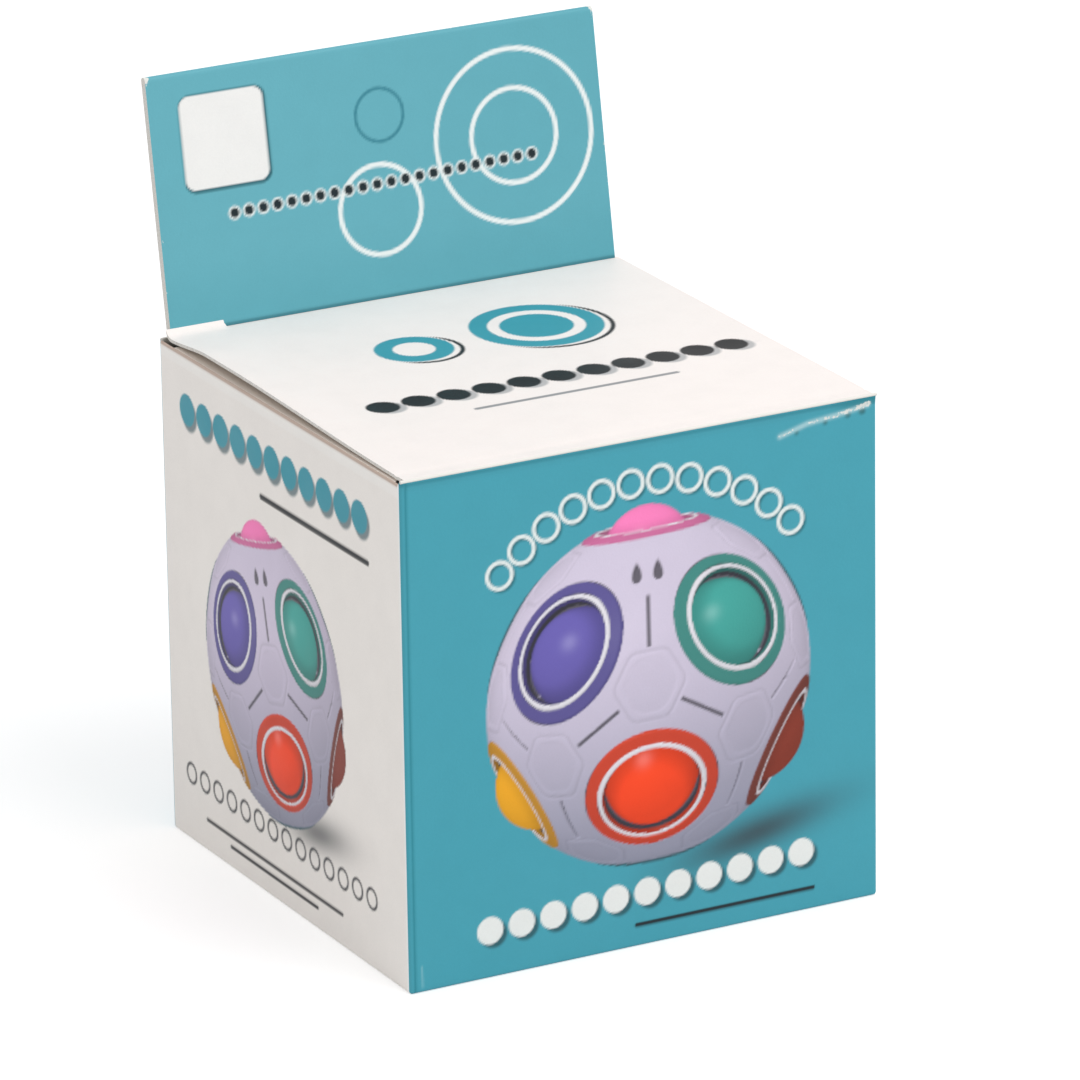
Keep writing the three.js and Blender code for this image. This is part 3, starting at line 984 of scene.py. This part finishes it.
def wall(name, right, out, top, wraps, paint):
    s = boardSettings
    along = steps(-innerHalf, innerHalf, s["step"])
    turn = np.zeros(len(along))
    arc = np.linspace(0, math.pi / 2, s["arcSteps"] + 1)
    if wraps:
        along = np.concatenate([np.full(len(arc) - 1, -innerHalf), along, np.full(len(arc) - 1, innerHalf)])
        turn = np.concatenate([-arc[:0:-1], turn, arc[1:]])
    straight = steps(board, top["end"], s["step"])
    depths = np.concatenate([board * np.cos(arc[:0:-1]), np.full(len(straight), board)])
    heights = np.concatenate([board - board * np.sin(arc[:0:-1]), straight])
    if top["rounded"]:
        depths = np.concatenate([depths, board - foldRadius + foldRadius * np.cos(arc[1:])])
        heights = np.concatenate([heights, top["end"] + foldRadius * np.sin(arc[1:])])
    swell = s["swell"] * smooth(heights, top["end"] - s["swellHeight"], top["end"]) * top["swells"]
    bm = unitSheet(len(along), len(heights))
    capBack(bm)

    def place(column, row, inner):
        depth = np.where(inner, 0, depths[row])
        height = np.where(inner, np.clip(heights[row], board, top["inner"]), heights[row])
        middling = (1 - (along[column] / innerHalf) ** 2) * (1 - (2 * heights[row] / lidTop - 1) ** 2)
        across = along[column] + np.sin(turn[column]) * depth
        outward = innerHalf + np.cos(turn[column]) * (depth + np.where(inner, 0, swell[row]))
        outward += np.where(inner, 0, s["bow"] * np.maximum(middling, 0))
        onPrint = np.column_stack([across, heights[row]]) / mm
        return onPrint, inSpace((0, 0, 0), (right, across), (out, outward), ((0, 0, 1), height))

    node = name.removesuffix("_board")
    return boardPiece(name, bm, (len(along), len(heights)), place, paint, "carton", [node])


frontTop = {"end": lidFold.z - 0.16 * mm, "inner": frontHigh.z, "rounded": False, "swells": 1}
backTop = {"end": lidLow.z, "inner": lidLow.z, "rounded": False, "swells": 0}
sideTop = {"end": dustFold.z, "inner": dustFold.z, "rounded": True, "swells": 0}
wall("front_panel_board", (1, 0, 0), (0, -1, 0), frontTop, True, inkFront)
wall("back_panel_board", (-1, 0, 0), (0, 1, 0), backTop, True, inkFront)
wall("left_panel_board", (0, -1, 0), (-1, 0, 0), sideTop, False, inkSide)
wall("right_panel_board", (0, 1, 0), (1, 0, 0), sideTop, False, inkSide)
print("walls")


def foldBead(name, body, joint, halfLength):    # the round outside of a fold
    place = joints[joint]
    along = Vector(place["axis"]).normalized()
    bm = bmesh.new()
    bmesh.ops.create_cone(bm, cap_ends=True, segments=24, radius1=foldRadius, radius2=foldRadius,
                          depth=2 * halfLength)
    turn = Vector((0, 0, 1)).rotation_difference(along).to_matrix()
    bmesh.ops.rotate(bm, verts=bm.verts[:], cent=(0, 0, 0), matrix=turn)
    bmesh.ops.translate(bm, verts=bm.verts[:], vec=place["pos_m"])
    count = len(bm.verts)
    setInk(bm, [linear("f1eee8")] * count, [0.2] * count)
    return finishPiece(bm, name, boardMaterials[:1], body, [])


lidSettings = {
    "earInner": 28.416 * mm,      # the ears stand behind the fold of the tuck flap, from here outwards
    "printLeft": -29.5 * mm, "printRight": 35.5 * mm, "printFront": -17.5 * mm, "printBack": 25.5 * mm,
    "step": (0.3 * mm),
    "curl": 1.0 * mm,             # the left edge lifts off the side panel
    "curlWidth": 13 * mm,
    "creaseDepth": 0.12 * mm,
    "earStart": 36.2 * mm,        # the left ear turns up from here to its end
    "earTurn": 65,                # degrees
    "earStep": 0.3 * mm,
}


def lidWarp(x, y):
    s = lidSettings
    edge = smooth(-x, lidHigh.x - s["curlWidth"], lidHigh.x)
    along = smooth(y, -36 * mm, 16 * mm) * (1 - smooth(y, 24 * mm, 37 * mm))
    crease = -s["creaseDepth"] * np.exp(-((y - lidPrint["crease"] * mm) / (0.5 * mm)) ** 2)
    return s["curl"] * edge ** 1.5 * along + crease


def earTurnUp(x, y):    # how far the left ear's points move back and up as it bends
    s = lidSettings
    full = math.radians(s["earTurn"])
    length = lidHigh.y - s["earStart"]
    angle = full * np.clip((y - s["earStart"]) / length, 0, 1)
    share = smooth(-x, s["earInner"], s["earInner"] + 0.4 * mm)
    run = np.maximum(y - s["earStart"], 0)
    return share * (length / full * np.sin(angle) - run), share * length / full * (1 - np.cos(angle))


def makeLid():
    s = lidSettings
    plain = boardSettings["plainStep"]
    columns = np.concatenate([
        steps(lidLow.x, s["printLeft"], plain)[:-1],
        steps(s["printLeft"], s["printRight"], s["step"]),
        steps(s["printRight"], lidHigh.x, plain)[1:],
        [-s["earInner"], s["earInner"]],
    ])
    rows = np.concatenate([
        steps(lidFold.y, s["printFront"], plain)[:-1],
        steps(s["printFront"], s["printBack"], s["step"]),
        steps(s["printBack"], s["earStart"], plain)[1:],
        steps(s["earStart"], tuckFold.y, s["earStep"])[1:],
        [lidHigh.y, lidPrint["crease"] * mm],
    ])
    columns, rows = np.sort(columns), np.sort(rows)
    bm = unitSheet(len(columns), len(rows))
    unitX = np.linspace(-0.5, 0.5, len(columns))
    left, right = np.interp([-s["earInner"], s["earInner"]], columns, unitX)
    lastRow = 0.5 - 0.9 / (len(rows) - 1)
    middles = [(face, face.calc_center_median()) for face in bm.faces]
    cut = [face for face, middle in middles if middle.y > lastRow and left < middle.x < right]
    bmesh.ops.delete(bm, geom=cut, context="FACES")
    doubleBack(bm)

    def place(column, row, inner):
        x, y = columns[column], rows[row]
        backward, upward = earTurnUp(x, y)
        height = lidTop + lidWarp(x, y) + upward - np.where(inner, board, 0)
        return np.column_stack([x, y]) / mm, np.column_stack([x, y + backward, height])

    boardPiece("lid_board", bm, (len(columns), len(rows)), place, inkLid, "lid", ["lid_panel"])
    foldBead("lid_fold_bead", "lid", "lid_open", outerHalf)


makeLid()
print("lid")


headerSettings = {
    "lean": 9.5,
    "step": (0.3 * mm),
    "layer": 0.65 * mm,           # one layer of the folded card
    "backOffset": -0.25 * mm,     # the back face of the card, from the line that it leans along
    "footDrop": 0.85 * mm,        # how far the back layer reaches down to its fold
    "frontDrop": 0.45 * mm,       # and the front layer, down to the lid
    "bow": 0.35 * mm,
}


def makeHeader():
    s = headerSettings
    lean = math.radians(s["lean"])
    upward = Vector((0, math.sin(lean), math.cos(lean)))
    forward = Vector((0, -math.cos(lean), math.sin(lean)))
    base = Vector((0, (innerHalf + outerHalf) / 2, lidTop + 0.3 * mm))
    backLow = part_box("header_back")[0]
    height = (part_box("header_back")[1] - base).dot(upward) + 0.1 * mm
    width = backLow.x
    arc = np.linspace(0, math.pi / 2, boardSettings["arcSteps"] + 1)[1:]
    middle = s["backOffset"] + s["layer"]
    layers = [
        ("header_front", 1, -s["frontDrop"], inkHeader, s["step"]),
        ("header_back", -1, -s["footDrop"], inkPlainTeal, boardSettings["plainStep"]),
    ]
    for name, side, foot, paint, step in layers:
        columns = steps(width, -width, step)
        straight = steps(foot, height - s["layer"], step)
        heights = np.concatenate([straight, height - s["layer"] + s["layer"] * np.sin(arc)])
        depths = np.concatenate([np.full(len(straight), s["layer"]), s["layer"] * np.cos(arc)])
        bm = unitSheet(len(columns), len(heights))
        capBack(bm)

        def place(column, row, inner):
            level = np.where(inner, np.minimum(heights[row], height - s["layer"]), heights[row])
            offset = middle + side * np.where(inner, 0, depths[row])
            bend = s["bow"] * (1 - (columns[column] / width) ** 2) * smooth(heights[row], 0, height)
            across = side * columns[column]
            onPrint = np.column_stack([columns[column], heights[row]]) / mm
            return onPrint, inSpace(base, ((1, 0, 0), across), (upward, level), (forward, offset - bend))

        shape = (len(columns), len(heights))
        boardPiece(name + "_board", bm, shape, place, paint, "carton", [name])


makeHeader()
print("header")


def flap(name, body, fold, length, edges, along, outward, thickness, bow=0.3 * mm, caps=None):
    # edges(distance) gives the two ends of the flap's width at each distance from its fold
    distances = steps(0, length, boardSettings["plainStep"])
    if caps:
        distances = np.concatenate([steps(0, length - caps, boardSettings["plainStep"]),
                                    length - caps + caps * np.sin(np.linspace(0, math.pi / 2, 9)[1:])])
    columns = np.linspace(0, 1, 33)
    low, high = edges(distances)
    bm = unitSheet(len(columns), len(distances))
    doubleBack(bm)
    normal = Vector(along).cross(Vector(outward))

    def place(column, row, inner):
        across = low[row] + (high[row] - low[row]) * columns[column]
        share = np.clip(distances[row] / length, 0, 1)
        bend = bow * np.sin(math.pi * share) * (1 - (2 * columns[column] - 1) ** 2)
        depth = np.where(inner, -thickness, 0)
        onPrint = np.column_stack([across, distances[row]]) / mm
        return onPrint, inSpace(fold, (along, across), (outward, distances[row]), (normal, depth - bend))

    shape = (len(columns), len(distances))
    return boardPiece(name + "_board", bm, shape, place, inkBounceWarmWhite, body, [name])


flapSettings = {
    "taper": 45,                  # degrees of the slanted front end of a dust flap
    "tuckCorner": 4 * mm,
    "tuckLean": 12,               # degrees that the tucked flap leans in
    "tuckLength": 12 * mm,
    "glueBevel": 5 * mm,
    "beadShare": 0.95,            # a dust flap's own fold bead, inside the panel's rounded top
}


def evenEnds(low, high):
    return lambda distance: (np.full(len(distance), low), np.full(len(distance), high))


def roundEnds(half, length):    # the free edge's corners are round
    corner = flapSettings["tuckCorner"]

    def ends(distance):
        past = np.clip(distance - (length - corner), 0, corner)
        width = half - corner + np.sqrt(corner ** 2 - past ** 2)
        return -width, width

    return ends


def makeLidFlaps():
    s = flapSettings
    for side, name in ((-1, "left"), (1, "right")):
        low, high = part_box("lid_dust_flap_" + name)
        length = -dustFold.x - min(abs(low.x), abs(high.x))
        slope = math.tan(math.radians(s["taper"]))
        frontEnd, backEnd = low.y, high.y
        if side < 0:
            ends = lambda d: (np.full(len(d), -backEnd), -frontEnd - d * slope)
        else:
            ends = lambda d: (frontEnd + d * slope, np.full(len(d), backEnd))
        origin = (side * abs(dustFold.x), 0, dustFold.z + foldRadius)
        body = "dust_flap_" + name
        flap("lid_dust_flap_" + name, body, origin, length, ends,
             (0, side, 0), (-side, 0, 0), board)
        bead = foldBead("dust_fold_bead_" + name, body, "lid_dust_fold_" + name, min(-frontEnd, backEnd))
        axis = np.array(joints["lid_dust_fold_" + name]["pos_m"])
        for vert in bead.data.vertices:
            across = np.array(vert.co) - axis
            across[[0, 2]] *= s["beadShare"]
            vert.co = axis + across
    lean = math.radians(s["tuckLean"])
    outward = Vector((0, -math.sin(lean), -math.cos(lean)))
    normal = Vector((0, math.cos(lean), -math.sin(lean)))
    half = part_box("lid_tuck_flap")[1].x
    flap("lid_tuck_flap", "tuck_flap", tuckFold + normal * foldRadius, s["tuckLength"],
         roundEnds(half, s["tuckLength"]), (1, 0, 0), outward, board, caps=s["tuckCorner"])
    foldBead("tuck_fold_bead", "tuck_flap", "lid_tuck_fold", half)


def makeBase():
    s = flapSettings
    low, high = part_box("base_panel")
    flap("base_panel", "carton", (0, low.y, low.z), high.y - low.y,
         evenEnds(low.x, high.x), (-1, 0, 0), (0, 1, 0), board, bow=0)
    for side, name in ((-1, "base_dust_flap_left"), (1, "base_dust_flap_right")):
        low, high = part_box(name)
        start = low.x if side < 0 else high.x
        flap(name, "carton", (start, 0, low.z), high.x - low.x,
             evenEnds(low.y, high.y), (0, -side, 0), (-side, 0, 0), board, bow=0)
    low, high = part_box("base_tuck_flap")
    length = high.z - low.z
    flap("base_tuck_flap", "carton", (0, low.y, low.z), length,
         roundEnds(high.x, length), (1, 0, 0), (0, 0, 1), board, bow=0, caps=s["tuckCorner"])
    low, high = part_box("glue_flap")
    width = high.x - low.x
    ends = lambda d: (-high.z + s["glueBevel"] * d / width, -low.z - s["glueBevel"] * d / width)
    flap("glue_flap", "carton", (high.x, high.y, 0), width, ends,
         (0, 0, -1), (-1, 0, 0), board, bow=0)


makeLidFlaps()
makeBase()
print("flaps")


stageSettings = {
    "azimuth": -27.818, "elevation": 19.472, "distance": 1.285, "lens": 288.67,
    "aimHeight": 46.8 * mm, "roll": -0.925, "shiftX": 0.0216, "shiftY": 0.0245,
    "skyStrength": 0.70,
    "keyFrom": (0.48, -0.70, 1.25), "keySize": 1.1, "keyPower": 8.6,
    "floorColour": "e6e6e6", "floorGlow": 0.42, "floorSize": 6,
}


def behindCamera(tree):    # 1 for rays that see the background directly, in a reflection or through glass
    path = addNode(tree, "ShaderNodeLightPath").outputs
    seen = maths(tree, "MAXIMUM", path["Is Camera Ray"], path["Is Glossy Ray"])
    return maths(tree, "MAXIMUM", seen, path["Is Transmission Ray"])


def makeCamera():
    s = stageSettings
    azimuth, elevation = math.radians(s["azimuth"]), math.radians(s["elevation"])
    level = math.cos(elevation)
    back = Vector((math.sin(azimuth) * level, -math.cos(azimuth) * level, math.sin(elevation)))
    camera = addObject("camera", bpy.data.cameras.new("camera"))
    bpy.context.scene.camera = camera
    camera.data.lens = s["lens"]
    camera.data.sensor_width = 36
    camera.data.shift_x, camera.data.shift_y = s["shiftX"], s["shiftY"]
    camera.data.clip_end = 20
    turn = back.to_track_quat("Z", "Y").to_matrix() @ Matrix.Rotation(math.radians(s["roll"]), 3, "Z")
    place = Vector((0, 0, s["aimHeight"])) + back * s["distance"]
    camera.matrix_world = Matrix.Translation(place) @ turn.to_4x4()


def makeLight():
    s = stageSettings
    light = addObject("key", bpy.data.lights.new("key", "AREA"))
    light.data.shape = "DISK"
    light.data.size = s["keySize"]
    light.data.energy = s["keyPower"]
    light.location = Vector(s["keyFrom"])
    fromAim = Vector(s["keyFrom"]) - Vector((0, 0, s["aimHeight"]))
    light.rotation_euler = fromAim.to_track_quat("Z", "Y").to_euler()
    world = bpy.data.worlds.new("studio")
    bpy.context.scene.world = world
    world.use_nodes = True
    tree = world.node_tree
    sky = tree.nodes["Background"]
    sky.inputs["Color"].default_value = (1, 1, 1, 1)
    seen = behindCamera(tree)
    strength = maths(tree, "ADD", maths(tree, "MULTIPLY", seen, 1 - s["skyStrength"]), s["skyStrength"])
    tree.links.new(strength, sky.inputs["Strength"])


def makeFloor():
    s = stageSettings
    bm = bmesh.new()
    bmesh.ops.create_grid(bm, x_segments=1, y_segments=1, size=s["floorSize"] / 2)
    mesh = meshFrom(bm, "floor")
    floor = addObject("floor", mesh)
    material, tree, shader = newMaterial("floor_paper", 0.9)
    shader.inputs["Base Color"].default_value = (*linear(s["floorColour"]), 1)
    shader.inputs["Emission Color"].default_value = (1, 1, 1, 1)
    feed(tree, shader, "Emission Strength", maths(tree, "MULTIPLY", behindCamera(tree), s["floorGlow"]))
    mesh.materials.append(material)


makeCamera()
makeLight()
makeFloor()
bpy.context.scene.view_settings.view_transform = "Standard"

bpy.context.view_layer.update()
print("camera, light and floor")
